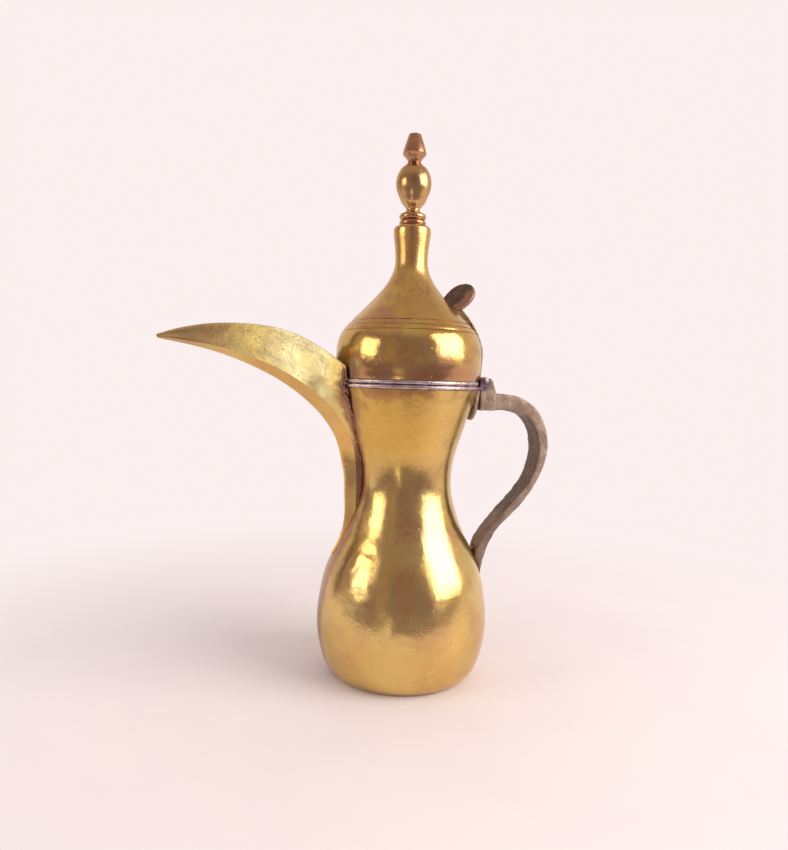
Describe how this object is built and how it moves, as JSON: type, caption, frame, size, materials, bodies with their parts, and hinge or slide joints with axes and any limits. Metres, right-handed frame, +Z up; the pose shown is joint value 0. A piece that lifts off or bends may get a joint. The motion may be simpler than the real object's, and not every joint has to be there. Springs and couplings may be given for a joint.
{
  "type": "dallah coffee pot",
  "caption": "Waisted brass coffee pot with a long upturned beak spout, riveted strap handle and a hinged domed lid that ends in a turned finial.",
  "frame": {"origin": "centre of the base's underside, on the turning axis of bowl and lid", "axes": "+Z up along the turning axis; the spout points along -X; handle and hinge lie along +X; the XZ plane is the plane of symmetry"},
  "size_m": [0.2084, 0.0924, 0.288],
  "materials": {
    "pot_brass": "hammered and polished, fine scratches and small pits",
    "turned_brass": "turned, warm reddish patina with polished high spots",
    "handle_brass": "rough forged surface, dull brown patina",
    "rim_tin": "tinned ring, soft silver with purple-grey tarnish",
    "hinge_metal": "dark tinned hinge, worn bright on its edges",
    "strap_metal": "grey-brown dull strap",
    "thumb_metal": "dark red-brown patina, brass showing at the edge",
    "rivet_brass": "peened heads, worn"
  },
  "bodies": {
    "pot": {"base_plate": "pot_brass", "lower_bowl": "pot_brass", "upper_neck": "pot_brass", "pot_rim_ring": "rim_tin", "spout_cheek_left": "pot_brass", "spout_cheek_right": "pot_brass", "spout_keel": "pot_brass", "handle_strap": "handle_brass", "hinge_block": "handle_brass", "hinge_lugs": "hinge_metal", "handle_tongue": "handle_brass", "handle_saddle": "handle_brass", "handle_studs": "rivet_brass", "foot_rivets": "rivet_brass", "foot_rivet_burrs": "rivet_brass", "hinge_pin": "hinge_metal"},
    "lid": {"lid_dome": "pot_brass", "lid_rim_ring": "rim_tin", "lid_collar": "rim_tin", "lid_strap": "strap_metal", "strap_rivets": "rivet_brass", "thumb_plate": "thumb_metal", "chimney_cap": "pot_brass", "finial_collar": "turned_brass", "finial": "turned_brass", "finial_stem": "rivet_brass", "stem_washer": "rivet_brass"}
  },
  "joints": [
    {"name": "lid_hinge", "type": "hinge", "parent": "pot", "child": "lid", "pos_m": [0.0406, 0, 0.159], "axis": [0, 1, 0], "range_deg": [0, 90]}
  ]
}
